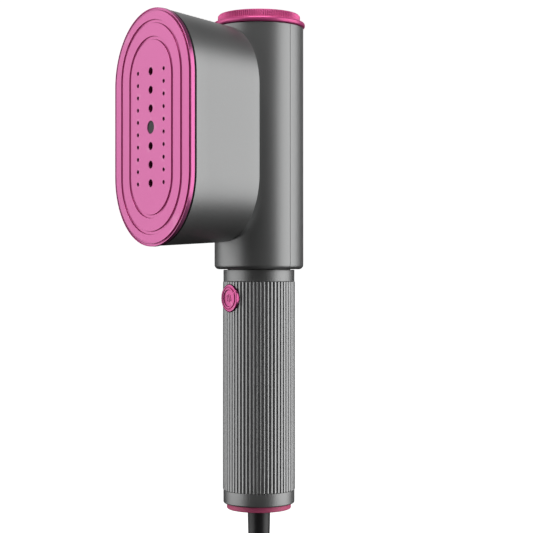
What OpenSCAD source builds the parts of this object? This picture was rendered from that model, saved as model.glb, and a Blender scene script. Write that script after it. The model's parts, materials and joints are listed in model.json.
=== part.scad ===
// Handheld garment steamer with an obround heated head, a barrel that holds the
// water tank and pump, and a ribbed grip with one steam button. Millimetres, +Z up.
// The origin is on the handle's axis, at the middle of the neck collar, where a
// holder takes the steamer. The soleplate faces -Y.

/* [Barrel] */
// Outer radius of the barrel
barrel_r = 24.4; // [24:0.1:24.8]
// Height of the barrel
barrel_h = 132.15; // [131:0.05:135]
// Wall thickness of the mouldings
wall = 2; // [1.8:0.1:2.2]
// Half of the rear cover's width, as an angle about the barrel's axis
cover_half_angle = 82; // [75:1:86]

/* [Head] */
// Height of the head's centre above the barrel's lower edge
head_up = 73.95; // [72:0.05:75]
// Distance from the barrel's axis to the soleplate's face
face_t = 69.5; // [69:0.1:71]
// Distance from the barrel's axis to the back of the head
back_t = 24.4; // [24.2:0.1:24.6]
// Radius of the head's round ends at the front
head_w = 37.2; // [36.8:0.1:38]
// Half of the head's straight length at the front
head_s = 24.6; // [24.2:0.1:25]
// How much each round end's radius shrinks towards the back
head_taper_w = 2.4; // [2:0.1:3.4]
// How much each half of the straight length shrinks towards the back
head_taper_s = 1.3; // [1:0.1:1.4]
// How much lower the head's centre is at its back than at its front
head_drop = 1.3; // [0:0.1:1.5]
// Radius of the soleplate's round ends
plate_w = 38; // [37.2:0.1:38.2]
// Radius of the outer face groove's round ends, at the groove's middle
groove_out_w = 29.5; // [29:0.1:31]
// Radius of the inner face groove's round ends, at the groove's middle
groove_in_w = 20.9; // [20:0.1:22]
// Number of small steam holes in each side column
side_holes = 10; // [8:1:10]
// Radius of a small steam hole
side_hole_r = 0.9; // [0.7:0.05:1]
// Radius of a steam hole in the middle column
mid_hole_r = 1.9; // [1.5:0.05:2]

/* [Handle] */
// Radius of the smooth neck collar
collar_r = 19.5; // [19.2:0.1:19.8]
// Height of the neck collar
collar_h = 6.3; // [5.5:0.1:8]
// Radius over the grip's ribs
grip_r = 19.8; // [19.6:0.1:20.2]
// Length of the ribbed grip
grip_h = 114.1; // [112:0.1:118]
// Number of ribs round the grip
ribs = 56; // [48:2:72]
// Height of the smooth ferrule under the grip
ferrule_h = 7.3; // [7:0.1:9]
// Radius of the coloured ring at the handle's end
ring_r = 17.6; // [17:0.1:18.4]
// Distance from the grip's top down to the steam button's centre
button_down = 9.1; // [9:0.1:12]
// Radius of the steam button's face
button_r = 7; // [6.6:0.1:7.2]
// How far the steam button travels
button_travel = 1.2; // [0.8:0.1:1.2]

/* [Filler cap] */
// Radius of the cap's flange
flange_r = 25.3; // [24.8:0.1:25.6]
// Radius over the cap's knurling
knurl_r = 22.6; // [21.6:0.1:22.8]
// Number of teeth in the knurling
knurls = 120; // [90:6:150]
// Pitch of the cap's screw thread
thread_pitch = 3.5; // [3.4:0.1:3.6]

/* [Cord] */
// Diameter of the mains cord
cord_d = 6.6; // [6:0.2:7]
// Length of the strain relief outside the handle
relief_h = 42; // [36:2:44]

/* [Hidden] */
$fn = 96;
gap = 0.3;                              // clearance between neighbouring mouldings
round_r = 2.5;                          // rounding of the barrel's lower edge
shadow_gap = 0.3;                       // dark line between collar and barrel

barrel_z = collar_h / 2 + shadow_gap;
barrel_top = barrel_z + barrel_h;
barrel_in = barrel_r - wall;
head_z = barrel_z + head_up;
grip_top = -collar_h / 2;
grip_bottom = grip_top - grip_h;
ferrule_bottom = grip_bottom - ferrule_h;
ring_top = ferrule_bottom - gap;
ring_h = 2.8;
ring_bottom = ring_top - ring_h;

// Soleplate and head, as distances from the barrel's axis
gasket_h = 1.4;
flange_h = 2.2;                         // plain side band of the soleplate
step_h = 0.3;                           // set-back band in front of it
plate_back = face_t - 2.8;
step_w = plate_w - 1.3;
bevel_w = step_w - 0.4;
plate_s = head_s - 0.4;
groove_s = plate_s + 1.45;              // the grooves are a little longer than the rim
shell_front = plate_back - gasket_h;
spigot_w = 33.4;                        // the plate's back, inside the gasket
spigot_t = plate_back - 2.5;
groove_half = 0.9;
groove_deep = 0.6;
side_x = 12.8;                          // offset of a side column of holes
side_pitch = 6.5;
mid_pitch = 9.7;
mid_first = 19.6;                       // first middle hole above and below the centre
mid_rows = 3;
disc_r = 3.3;                           // dark disc in the middle of the plate

block_w = 31;
block_s = 23;
block_back = 46;
seal_h = 0.5;
block_front = spigot_t - seal_h;
chamber_w = 27.5;
chamber_deep = 5;
element_r = 3.3;
element_x = 18;
element_top = 20;
element_bottom = -24;
element_t = block_back + 4.2;
lead_bend = 8;
inlet_v = -20;                          // water inlet, below the head's centre
inlet_t = 38;
shield_t = 33;
plate_screw_x = 28.4;
plate_screw_v = 22;
plate_screw_r = 1.4;
neck_w = 20;                            // neck between the head and the barrel
neck_s = 35.2;
duct_w = 14;                            // passage through the neck
duct_s = 30;
neck_screw_v = 50;

// Water tank and filler
tank_r = 21.2;
tank_wall = 1.5;
tank_bottom = barrel_z + 66;
lid_h = 4;
lid_bottom = barrel_top - lid_h - 0.2;
mouth_r = 14.2;                         // bore of the filler neck
mouth_h = 12.5;
mouth_bottom = lid_bottom + lid_h - mouth_h;
plug_r = 12.6;                          // core of the cap's threaded plug
plug_h = 10.6;
thread_deep = 1.3;
thread_turns = 0.85;
thread_root = 1.7;                      // width of a tooth at its root
thread_crest = 0.9;
female_z = barrel_top - 7.5;
male_z = female_z - 1.7;
cap_bottom = barrel_top + gap;
flange_t = 2.7;
knurl_h = 4.25;
cap_top = cap_bottom + flange_t + knurl_h;
seal_in = plug_r + thread_deep + 0.5;
seal_out = seal_in + 4;
outlet_x = 8;
outlet_y = 6;

// Pump
pump_y = 2;
pump_z = barrel_z + 10;
pump_r = 6.8;
plunger_r = 5;
plunger_fit = 0.08;
plunger_h = 20;
plunger_z = pump_z + 10;
cylinder_h = 37;
pump_head_z = pump_z + cylinder_h;
pump_head_h = 11;
seat_z = pump_head_z + 2.4;
poppet_r = 2.3;
poppet_h = 2.4;
valve_top = pump_head_z + pump_head_h - 1.8;
yoke_half = 13.2;
yoke_z = pump_z + 8;
yoke_h = 27;
yoke_t = 1.6;
coil_r = 11.4;
hose_r = 2.6;
hose_bore = 1.5;
pump_inlet_z = pump_z + 3;
pump_outlet_z = valve_top - 2.2;

// Handle
core_r = 17.3;
core_in = 15.5;
core_top = barrel_z + 7;
sleeve_in = core_r + 0.1;
rib_cut_r = 0.5;
button_z = grip_top - button_down;
button_face = grip_r + 0.7;
skirt_r = button_r + 0.6;
skirt_out = button_face - 1.1;
button_in = 16;
stem_end = 12.6;
guide_r = 8.8;
guide_out = 17.2;
guide_in = 14.6;
switch_out = 11.2;
switch_d = 6.4;
switch_half_w = 6.4;
switch_half_h = 2.9;
pin_r = 1.2;
pin_fit = 0.1;
board_top = -24;
board_h = 74;
board_half = 13;
board_t = 1.6;
clamp_z = grip_bottom + 9;

// Strain relief and cord: the route's points are x, y, z
relief_top_r = 6.25;
relief_end_r = 5.2;
relief_end = ring_bottom - relief_h;
cord_r = cord_d / 2;
hank_r = 20.4;                          // radius of a fold, at the cord's middle
hank_waist = 4.6;                       // half of the runs' spacing at the tie
hank_half = 44;                         // half of a run's length
hank_z = -298;                          // middle of the hank
hank_d = 48;                            // depth of the hank, along Y
hank_out_r = hank_r + cord_r + 0.4;
tie_w = 12;
tie_t = 1.8;
plug_top = hank_z - 76;
plug_y = 19;
mains_h = 34;
plug_neck_h = 9;                        // plug's own strain relief
plug_half_w = 8.3;                      // straight half of the plug's outline
plug_end_r = 10;
pin_pitch = 19;
plug_pin_r = 2.4;
plug_pin_h = 19;
cord_route = [
    [0, 0, -160], [0, 0, -166], [0, 0, -172], [0, 0, -176], [0, -1, -182],
    [0, -3, -188], [0, -6, -194], [0, -10, -200], [0, -14, -206], [0, -17, -212],
    [0, -19, -218], [0, -20, -224], [0, -20, -230]
];

graphite = [0.36, 0.37, 0.37];
fuchsia = [0.85, 0.20, 0.52];
black = [0.06, 0.06, 0.07];
steel = [0.72, 0.73, 0.75];
copper = [0.72, 0.42, 0.22];
clear_grey = [0.75, 0.78, 0.8];
rubber_grey = [0.8, 0.8, 0.78];

// ---- helpers ----

function unit(v) = v / norm(v);
function heading(p, i) = unit(p[min(i + 1, len(p) - 1)] - p[max(i - 1, 0)]);
function curve_at(a, b, c, d, t) =
    0.5 * (2 * b + (c - a) * t + (2 * a - 5 * b + 4 * c - d) * t * t
        + (3 * b - a - 3 * c + d) * t * t * t);
function smooth(p, k) = [
    for (i = [0:len(p) - 2]) for (j = [0:k - 1])
        curve_at(p[max(i - 1, 0)], p[i], p[i + 1], p[min(i + 2, len(p) - 1)], j / k),
    p[len(p) - 1]
];
function spring_line(r, h, turns, step = 24) = [
    for (a = [0:step:360 * turns]) [r * cos(a), r * sin(a), h * a / (360 * turns)]
];

// A round tube swept along points; ref is never parallel to the route
module tube_along(p, r, sides, ref) {
    last = len(p) - 1;
    rings = [
        for (i = [0:last])
            let (t = heading(p, i), u = unit(cross(t, ref)), v = cross(t, u))
            for (k = [0:sides - 1])
                p[i] + r * (cos(360 * k / sides) * u + sin(360 * k / sides) * v)
    ];
    sides_faces = [
        for (i = [0:last - 1]) for (k = [0:sides - 1])
            let (a = i * sides + k, b = i * sides + (k + 1) % sides)
            each [[a, a + sides, b], [b, a + sides, b + sides]]
    ];
    ends = [
        [for (k = [0:sides - 1]) k],
        [for (k = [sides - 1:-1:0]) last * sides + k]
    ];
    polyhedron(points = rings, faces = concat(sides_faces, ends), convexity = 6);
}

// One screw tooth that winds up from z = 0, from radius r_root to r_crest
module thread(r_root, r_crest) {
    step = 10;
    last = ceil(360 * thread_turns / step);
    sink = r_root < r_crest ? -0.4 : 0.4;
    points = [
        for (i = [0:last])
            let (a = i * step, rise = thread_pitch * a / 360,
                grown = min(1, 0.15 + i / 3, 0.15 + (last - i) / 3),
                r = r_root + (r_crest - r_root) * grown)
            each [
                for (q = [[r_root + sink, -thread_root / 2], [r, -thread_crest / 2],
                        [r, thread_crest / 2], [r_root + sink, thread_root / 2]])
                    [q[0] * cos(a), q[0] * sin(a), rise + q[1]]
            ]
    ];
    turned = r_root < r_crest;
    skin = [
        for (i = [0:last - 1]) for (k = [0:3])
            let (a = 4 * i + k, b = 4 * i + (k + 1) % 4)
            each [[a, a + 4, b], [b, a + 4, b + 4]]
    ];
    ends = [[0, 1, 2, 3], [4 * last + 3, 4 * last + 2, 4 * last + 1, 4 * last]];
    faces = concat(skin, ends);
    polyhedron(
        points = points,
        faces = turned ? [for (f = faces) [for (k = [len(f) - 1:-1:0]) f[k]]] : faces,
        convexity = 6
    );
}

module ring(r_out, r_in, z0, z1)
    translate([0, 0, z0]) difference() {
        cylinder(h = z1 - z0, r = r_out);
        translate([0, 0, -1]) cylinder(h = z1 - z0 + 2, r = r_in);
    }

// Tube whose lower outer edge is rounded by f
module round_foot(r_out, r_in, z0, z1, f)
    rotate_extrude() difference() {
        translate([r_in, z0]) square([r_out - r_in, z1 - z0]);
        translate([r_out - f, z0 - 0.01]) difference() {
            square([f + 0.01, f + 0.01]);
            translate([0, f + 0.01]) circle(f, $fn = 48);
        }
    }

module square_from(x, y, w, h) translate([x, y]) square([w, h]);

module stadium(w, s) {
    for (side = [-1, 1]) translate([0, side * s]) circle(w);
    square([2 * w, 2 * s], center = true);
}

module stadium_block(w, s, t0, t1)
    translate([0, 0, t0]) linear_extrude(t1 - t0) stadium(w, s);

module stadium_cone(w0, w1, s, t0, t1) {
    for (side = [-1, 1])
        translate([0, side * s, t0]) cylinder(h = t1 - t0, r1 = w0, r2 = w1);
    translate([0, s, t0]) rotate([90, 0, 0]) linear_extrude(2 * s)
        polygon([[-w0, 0], [w0, 0], [w1, t1 - t0], [-w1, t1 - t0]]);
}

// From head axes (x, height, distance from the barrel's axis) to the part's frame
module in_head() translate([0, 0, head_z]) rotate([90, 0, 0]) children();

// From button axes (x, height, distance from the grip's axis) to the part's frame
module at_button() translate([0, 0, button_z]) rotate([90, 0, 0]) children();

// The wedge of the barrel that the rear cover takes, grown by an angle
module cover_wedge(more) {
    a = cover_half_angle + more;
    reach = 4 * barrel_r;
    translate([0, 0, barrel_z - 1]) linear_extrude(barrel_h + 2) polygon([
        [0, 0], [reach * sin(a), reach * cos(a)], [reach, 2 * reach],
        [-reach, 2 * reach], [-reach * sin(a), reach * cos(a)]
    ]);
}

// ---- head ----

module steam_holes(t0, t1) {
    for (i = [0:side_holes - 1]) for (side = [-1, 1])
        translate([side * side_x, (i - (side_holes - 1) / 2) * side_pitch, t0])
            cylinder(h = t1 - t0, r = side_hole_r, $fn = 24);
    for (i = [0:mid_rows - 1]) for (side = [-1, 1])
        translate([0, side * (mid_first / 2 + i * mid_pitch), t0])
            cylinder(h = t1 - t0, r = mid_hole_r, $fn = 32);
}

module face_groove(w)
    difference() {
        stadium_block(w + groove_half, groove_s, face_t - groove_deep, face_t + 1);
        stadium_block(w - groove_half, groove_s, face_t - groove_deep - 1, face_t + 2);
    }

module soleplate() color(fuchsia) in_head() difference() {
    union() {
        stadium_block(spigot_w, plate_s, spigot_t, plate_back);
        stadium_block(plate_w, plate_s, plate_back, plate_back + flange_h);
        stadium_block(step_w, plate_s, plate_back + flange_h,
            plate_back + flange_h + step_h);
        stadium_cone(step_w, bevel_w, plate_s, plate_back + flange_h + step_h, face_t);
    }
    steam_holes(spigot_t - 1, face_t + 1);
    face_groove(groove_out_w);
    face_groove(groove_in_w);
    translate([0, 0, face_t - 1]) cylinder(h = 2, r = disc_r);
    translate([0, 0, spigot_t - 1]) cylinder(h = 8, r = 1.5);
    for (x = [-1, 1]) for (v = [-1, 1])
        translate([x * plate_screw_x, v * plate_screw_v, spigot_t - 1])
            cylinder(h = 4, r = plate_screw_r);
}

module plate_gasket() color(black) in_head() difference() {
    stadium_block(plate_w - 0.5, plate_s, shell_front, plate_back);
    stadium_block(spigot_w, plate_s, shell_front - 1, plate_back + 1);
}

module centre_plug() color([0.3, 0.3, 0.32]) in_head() {
    translate([0, 0, face_t - 1]) cylinder(h = 0.6, r = disc_r);
    translate([0, 0, block_front - 3]) cylinder(h = face_t - block_front + 2.2, r = 1.5);
}

module chamber_seal() color(rubber_grey) in_head() difference() {
    stadium_block(block_w, block_s, block_front, spigot_t);
    stadium_block(chamber_w, block_s, block_front - 1, spigot_t + 1);
    for (x = [-1, 1]) for (v = [-1, 1])
        translate([x * plate_screw_x, v * plate_screw_v, block_front - 1])
            cylinder(h = 3, r = plate_screw_r);
}

// The element's U and its two ends, which bend towards the back
module element_rod(r) {
    translate([0, element_top, element_t])
        rotate_extrude(angle = 180) translate([element_x, 0]) circle(r, $fn = 32);
    for (side = [-1, 1]) {
        translate([side * element_x, element_top, element_t]) rotate([90, 0, 0])
            cylinder(h = element_top - element_bottom, r = r, $fn = 32);
        translate([side * element_x, element_bottom, element_t - lead_bend])
            rotate([0, -90, 0]) rotate([0, 0, -90])
            rotate_extrude(angle = 90) translate([lead_bend, 0]) circle(r, $fn = 32);
    }
}

module heating_element() color(steel) in_head() {
    element_rod(element_r);
    for (side = [-1, 1])
        translate([side * element_x, element_bottom - lead_bend,
                element_t - lead_bend - 4]) cylinder(h = 4, r = 1.2, $fn = 24);
}

module heater_block() color([0.62, 0.63, 0.64]) in_head() difference() {
    union() {
        stadium_block(block_w, block_s, block_back, block_front);
        translate([0, inlet_v, inlet_t]) cylinder(h = block_back - inlet_t + 1, r = 1.9);
    }
    stadium_block(chamber_w, block_s, block_front - chamber_deep, block_front + 1);
    translate([0, inlet_v, inlet_t - 1]) cylinder(h = 30, r = 1, $fn = 24);
    element_rod(element_r);
    translate([0, 0, block_front - 5]) cylinder(h = 10, r = 1.5);
    for (x = [-1, 1]) for (v = [-1, 1])
        translate([x * plate_screw_x, v * plate_screw_v, block_back - 1])
            cylinder(h = 30, r = plate_screw_r);
}

module soleplate_screws() color(steel) in_head()
    for (x = [-1, 1]) for (v = [-1, 1])
        translate([x * plate_screw_x, v * plate_screw_v, 0]) difference() {
            union() {
                translate([0, 0, block_back - 2]) cylinder(h = 2, r = 2.5);
                translate([0, 0, block_back - 0.1])
                    cylinder(h = spigot_t + 2 - block_back, r = plate_screw_r);
            }
            translate([0, 0, block_back - 2.5]) cylinder(h = 1.5, r = 1.2, $fn = 6);
        }

module thermostat() color(black) in_head() translate([0, 6, 0]) {
    translate([0, 0, block_back - 1]) cylinder(h = 1, r = 9);
    translate([0, 0, block_back - 9]) cylinder(h = 8.1, r = 7.6);
    for (side = [-1, 1]) translate([side * 4 - 0.4, -2.4, block_back - 12.5])
        cube([0.8, 4.8, 4]);
}

module thermal_fuse() color(steel) in_head() translate([0, 26, block_back - 2.1]) {
    rotate([0, 90, 0]) translate([0, 0, -6]) cylinder(h = 12, r = 2, $fn = 32);
    rotate([0, 90, 0]) translate([0, 0, -13]) cylinder(h = 26, r = 0.5, $fn = 16);
}

module heat_shield() color([0.85, 0.83, 0.75]) in_head() difference() {
    stadium_block(31, block_s, shield_t - 1, shield_t);
    translate([0, inlet_v, shield_t - 2]) cylinder(h = 3, r = 4);
    for (side = [-1, 1]) translate([side * 9, -34, shield_t - 2]) cylinder(h = 3, r = 3);
}

module neck_screw_cut(r, t0, t1)
    for (v = [-1, 1]) translate([0, v * neck_screw_v, t0]) cylinder(h = t1 - t0, r = r);

module shell_outline(inset, t0, t1)
    hull() {
        translate([0, 0, t1 - 0.1]) linear_extrude(0.1) stadium(head_w - inset, head_s);
        translate([0, -head_drop, t0]) linear_extrude(0.1)
            stadium(head_w - head_taper_w - inset, head_s - head_taper_s);
    }

module head_shell() color(graphite) {
    in_head() difference() {
        hull() {
            shell_outline(0, back_t + 0.9, shell_front);
            shell_outline(0.8, back_t, shell_front);
        }
        shell_outline(wall, back_t + wall, shell_front + 1);
        stadium_block(duct_w, duct_s, back_t - 1, back_t + wall + 1);
        neck_screw_cut(1.2, back_t - 1, back_t + wall + 1);
    }
    difference() {
        in_head() difference() {
            union() {
                stadium_block(neck_w, neck_s, 8, back_t + 0.5);
                neck_screw_cut(3.2, back_t, back_t + wall + 5);
            }
            stadium_block(duct_w, duct_s, 7, back_t + wall + 6);
            neck_screw_cut(1.2, 7, back_t + wall + 4);
        }
        translate([0, 0, barrel_z - 1]) cylinder(h = barrel_h + 2, r = barrel_r);
    }
}

module neck_screws() color(steel) in_head()
    for (v = [-1, 1]) translate([0, v * neck_screw_v, 0]) {
        translate([0, 0, barrel_in + 0.2]) cylinder(h = 1.4, r1 = 2.6, r2 = 1.2);
        translate([0, 0, barrel_in + 1.5]) cylinder(h = 7, r = 1.2);
    }

// ---- barrel ----

module barrel_tube() {
    round_foot(barrel_r, barrel_in, barrel_z, barrel_top, round_r);
    ring(barrel_in + 0.5, core_r + 0.1, barrel_z, barrel_z + 3);
}

module barrel_shell() color(graphite) difference() {
    barrel_tube();
    cover_wedge(0);
    in_head() {
        stadium_block(duct_w, duct_s, 5, barrel_r + 1);
        neck_screw_cut(1.2, 5, barrel_r + 1);
        for (v = [-1, 1]) translate([0, v * neck_screw_v, barrel_in + 0.2])
            cylinder(h = 1.4, r1 = 2.6, r2 = 1.2);
        for (v = [-1, 1]) translate([0, v * neck_screw_v, barrel_in - 2])
            cylinder(h = 2.2, r = 2.6);
    }
}

module rear_cover() color(graphite) intersection() {
    barrel_tube();
    cover_wedge(-0.6);
}

module water_tank() color(clear_grey, 0.6) difference() {
    union() {
        translate([0, 0, tank_bottom]) cylinder(h = lid_bottom - tank_bottom, r = tank_r);
        translate([outlet_x, outlet_y, tank_bottom - 5]) cylinder(h = 6, r = 1.9);
    }
    translate([0, 0, tank_bottom + tank_wall])
        cylinder(h = lid_bottom - tank_bottom, r = tank_r - tank_wall);
    translate([outlet_x, outlet_y, tank_bottom - 6]) cylinder(h = 9, r = 1, $fn = 24);
}

module filler_neck() color(graphite) {
    difference() {
        union() {
            translate([0, 0, lid_bottom]) cylinder(h = lid_h, r = barrel_in - 0.2);
            translate([0, 0, mouth_bottom]) cylinder(h = mouth_h, r = mouth_r + 1.8);
        }
        translate([0, 0, mouth_bottom - 1]) cylinder(h = mouth_h + 2, r = mouth_r);
        ring(seal_out + 0.2, mouth_r - 1, lid_bottom + lid_h - 1, lid_bottom + lid_h + 1);
    }
    translate([0, 0, female_z]) thread(mouth_r, mouth_r - thread_deep);
}

module cap_seal() color(black)
    ring(seal_out, seal_in, cap_bottom - 1.2, cap_bottom - 0.05);

module filler_cap() color(fuchsia) {
    difference() {
        union() {
            rotate_extrude() union() {
                square_from(0, cap_bottom, flange_r - flange_t / 2, flange_t);
                translate([flange_r - flange_t / 2, cap_bottom + flange_t / 2])
                    circle(flange_t / 2, $fn = 48);
            }
            translate([0, 0, cap_bottom + flange_t - 0.01])
                cylinder(h = knurl_h - 0.69, r = knurl_r);
            translate([0, 0, cap_top - 0.7])
                cylinder(h = 0.7, r1 = knurl_r, r2 = knurl_r - 0.7);
            translate([0, 0, cap_bottom - plug_h]) cylinder(h = plug_h + 1, r = plug_r);
        }
        for (k = [0:knurls - 1]) rotate([0, 0, 360 * k / knurls])
            translate([knurl_r + 0.05, 0, cap_bottom + flange_t])
                cylinder(h = knurl_h + 1, r = 0.3, $fn = 4);
    }
    rotate([0, 0, 360 * (male_z - female_z) / thread_pitch])
        translate([0, 0, male_z]) rotate([0, 0, 180]) thread(plug_r, plug_r + thread_deep);
}

supply_route = smooth([
    [outlet_x, outlet_y, tank_bottom - 1.2], [outlet_x, outlet_y, tank_bottom - 5],
    [12, 5, tank_bottom - 9], [16.6, 3, tank_bottom - 15], [17.3, pump_y, pump_z + 34],
    [17.3, pump_y, pump_z + 12], [16, pump_y, pump_inlet_z + 3],
    [12.5, pump_y, pump_inlet_z], [8.4, pump_y, pump_inlet_z]
], 4);

module hose(route, ref) difference() {
    tube_along(route, hose_r, 12, ref);
    tube_along([for (i = [0:len(route) - 1])
        route[i] + (i == 0 ? -1 : i == len(route) - 1 ? 1 : 0) * heading(route, i)],
        hose_bore + 0.4, 10, ref);
}

module supply_hose() color(rubber_grey) hose(supply_route, [0, 1, 0.05]);

delivery_route = smooth([
    [0, pump_y - pump_r - 1.2, pump_outlet_z], [0, pump_y - pump_r - 7, pump_outlet_z],
    [0, -20, (pump_outlet_z + head_z + inlet_v) / 2], [0, -30, head_z + inlet_v],
    [0, -inlet_t - 4, head_z + inlet_v]
], 4);

module delivery_hose() color(rubber_grey) hose(delivery_route, [1, 0, 0]);

// ---- pump ----

module at_pump() translate([0, pump_y, 0]) children();

module pump_cylinder() color([0.9, 0.9, 0.88]) at_pump() difference() {
    union() {
        translate([0, 0, pump_z]) cylinder(h = cylinder_h, r = pump_r);
        translate([0, 0, pump_inlet_z]) rotate([0, 90, 0]) cylinder(h = 13, r = 1.8);
    }
    translate([0, 0, plunger_z]) cylinder(h = cylinder_h, r = plunger_r + plunger_fit);
    translate([0, 0, pump_inlet_z - 1]) cylinder(h = 10, r = 1.5, $fn = 24);
    translate([0, 0, pump_inlet_z]) rotate([0, 90, 0])
        cylinder(h = 14, r = 1, $fn = 24);
}

module pump_plunger() color(steel) at_pump()
    ring(plunger_r, 1.6, plunger_z, plunger_z + plunger_h);

module pump_spring() color(steel) at_pump() {
    z0 = plunger_z + plunger_h + 0.4;
    translate([0, 0, z0]) tube_along(
        spring_line(3.6, pump_head_z - z0 - 0.4, 4), 0.35, 6, [0, 0, 1]);
}

module pump_head() color([0.9, 0.9, 0.88]) at_pump() difference() {
    union() {
        translate([0, 0, pump_head_z]) cylinder(h = pump_head_h, r = pump_r);
        translate([0, 0, pump_outlet_z]) rotate([90, 0, 0])
            cylinder(h = pump_r + 5, r = 1.8);
    }
    translate([0, 0, pump_head_z - 1]) cylinder(h = 4, r = 1.2, $fn = 24);
    translate([0, 0, seat_z]) cylinder(h = valve_top - seat_z, r = poppet_r + 0.6);
    translate([0, 0, pump_outlet_z]) rotate([90, 0, 0])
        cylinder(h = pump_r + 6, r = 1, $fn = 24);
}

module valve_poppet() color(black) at_pump()
    translate([0, 0, seat_z + 0.05]) cylinder(h = poppet_h, r = poppet_r);

module valve_spring() color(steel) at_pump() {
    z0 = seat_z + poppet_h + 0.3;
    translate([0, 0, z0]) tube_along(
        spring_line(1.6, valve_top - z0 - 0.3, 3), 0.2, 6, [0, 0, 1]);
}

module pump_coil() color(copper) at_pump()
    ring(coil_r, pump_r, yoke_z + yoke_t, yoke_z + yoke_h - yoke_t);

module pump_yoke() color(steel) at_pump() difference() {
    translate([-yoke_half, -yoke_half + 1.4, yoke_z])
        cube([2 * yoke_half, 2 * yoke_half - 2.8, yoke_h]);
    translate([-yoke_half + yoke_t, -yoke_half - 1, yoke_z + yoke_t])
        cube([2 * (yoke_half - yoke_t), 2 * yoke_half + 2, yoke_h - 2 * yoke_t]);
    translate([0, 0, yoke_z - 1]) cylinder(h = yoke_h + 2, r = pump_r);
}

module pump_cradle() color(black) difference() {
    translate([0, 0, yoke_z - 2.2]) cylinder(h = 2.2, r = barrel_in - 0.3);
    translate([0, pump_y, yoke_z - 3]) cylinder(h = 4, r = pump_r);
    for (x = [14.6, 17.3]) translate([x, pump_y, yoke_z - 3])
        cylinder(h = 4, r = hose_r + 0.4);
    for (side = [-1, 1]) translate([side * 12.5, -13, yoke_z - 3]) cylinder(h = 4, r = 2);
}

module heater_leads() color([0.85, 0.8, 0.7])
    for (side = [-1, 1]) tube_along(smooth([
        [side * 11, 3, board_top - 4], [side * 11.5, 3, board_top + 6],
        [side * 11.5, -2, -6], [side * 10.6, -7, 2], [side * 10.2, -8, 8],
        [side * 11, -10.2, 13], [side * 12.5, -13, 18], [side * 12.5, -13, 34],
        [side * 11, -16, 41], [side * 9, -25, 43.2], [side * 9, -32, head_z - 34],
        [side * 12, -37, head_z - 33], [side * 16.6, -38.5, head_z - 32.5]
    ], 3), 1.1, 8, [side, 0.2, 0.1]);

// ---- handle ----

module button_bore(r, t0, t1)
    at_button() translate([0, 0, t0]) cylinder(h = t1 - t0, r = r);

module handle_core() color(black) difference() {
    ring(core_r, core_in, grip_bottom, core_top);
    button_bore(guide_r + 0.1, 5, grip_r + 5);
}

module lock_ring() color(black)
    ring(core_r + 3, core_r, barrel_z + 3, core_top);

module neck_collar() color(graphite)
    ring(collar_r, sleeve_in, grip_top, -grip_top);

module grip_sleeve() color(graphite) difference() {
    translate([0, 0, grip_bottom]) linear_extrude(grip_h) difference() {
        circle(grip_r);
        circle(sleeve_in);
        for (k = [0:ribs - 1]) rotate(360 * k / ribs)
            translate([grip_r + 0.1, 0]) circle(rib_cut_r + 0.1, $fn = 24);
    }
    button_bore(guide_r, 5, grip_r + 5);
}

module lower_ferrule() color(graphite) difference() {
    round_foot(collar_r, relief_top_r + 0.02, ferrule_bottom, grip_bottom, 0.8);
    translate([0, 0, ferrule_bottom + 2.4]) cylinder(h = ferrule_h, r = core_in);
}

module end_ring() color(fuchsia)
    round_foot(ring_r, relief_top_r + 0.02, ring_bottom, ring_top + gap, 0.9);

module steam_button() color(fuchsia) at_button() difference() {
    union() {
        translate([0, 0, skirt_out - 0.01]) rotate_extrude() union() {
            square_from(0, 0, button_r, 0.81);
            square_from(0, 0, button_r - 0.3, 1.11);
            translate([button_r - 0.3, 0.81]) circle(0.3, $fn = 24);
        }
        translate([0, 0, button_in]) cylinder(h = skirt_out - button_in, r = skirt_r);
        translate([0, 0, stem_end]) cylinder(h = button_in - stem_end + 0.1, r = 1.6);
    }
    ring(5.2, 4.7, button_face - 0.25, button_face + 1);
    ring(3.6, 3.2, button_face - 0.25, button_face + 1);
}

module button_guide() color(black) at_button()
    ring(guide_r - 0.02, skirt_r + 0.08, guide_in, guide_out);

module button_spring() color(steel) at_button()
    translate([0, 0, switch_out + 0.35]) tube_along(
        spring_line(2.3, button_in - switch_out - 0.7, 4), 0.25, 6, [0, 0, 1]);

module switch_plunger() color([0.9, 0.3, 0.2]) at_button()
    translate([0, 0, stem_end - 2.6]) cylinder(h = 2.6, r = pin_r);

module switch_body() color(black) at_button() difference() {
    translate([-switch_half_w, -switch_half_h, switch_out - switch_d])
        cube([2 * switch_half_w, 2 * switch_half_h, switch_d]);
    translate([0, 0, stem_end - 2.6 - button_travel - 0.2])
        cylinder(h = 6, r = pin_r + pin_fit);
}

module switch_bracket() color([0.7, 0.7, 0.68]) at_button() {
    t1 = switch_out - switch_d;
    translate([-14.2, -4, t1 - 1.5]) cube([28.4, 8, 1.5]);
}

module control_board() color([0.08, 0.32, 0.16])
    translate([-board_half, 0, board_top - board_h]) cube([2 * board_half, board_t, board_h]);

module capacitor() color([0.1, 0.1, 0.3])
    translate([-5, board_t + 4.4, board_top - 40]) cylinder(h = 18, r = 4.4);

module power_triac() color([0.25, 0.25, 0.27]) {
    translate([2, board_t, board_top - 34]) cube([10, 4.5, 12]);
    translate([2, board_t + 4.5, board_top - 38]) cube([10, 1.5, 26]);
}

module cord_clamp() color(black) difference() {
    translate([-12, -5, clamp_z]) cube([24, 10, 7]);
    translate([0, 0, clamp_z - 1]) cylinder(h = 9, r = cord_r);
    for (side = [-1, 1]) translate([side * 8.5, -6, clamp_z + 3.5]) rotate([-90, 0, 0])
        cylinder(h = 12, r = 1.3);
}

module clamp_screws() color(steel)
    for (side = [-1, 1]) translate([side * 8.5, 0, clamp_z + 3.5]) rotate([-90, 0, 0]) {
        translate([0, 0, -7]) cylinder(h = 2, r = 2.4);
        translate([0, 0, -5.1]) cylinder(h = 9, r = 1.3);
    }

// ---- cord ----

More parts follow.
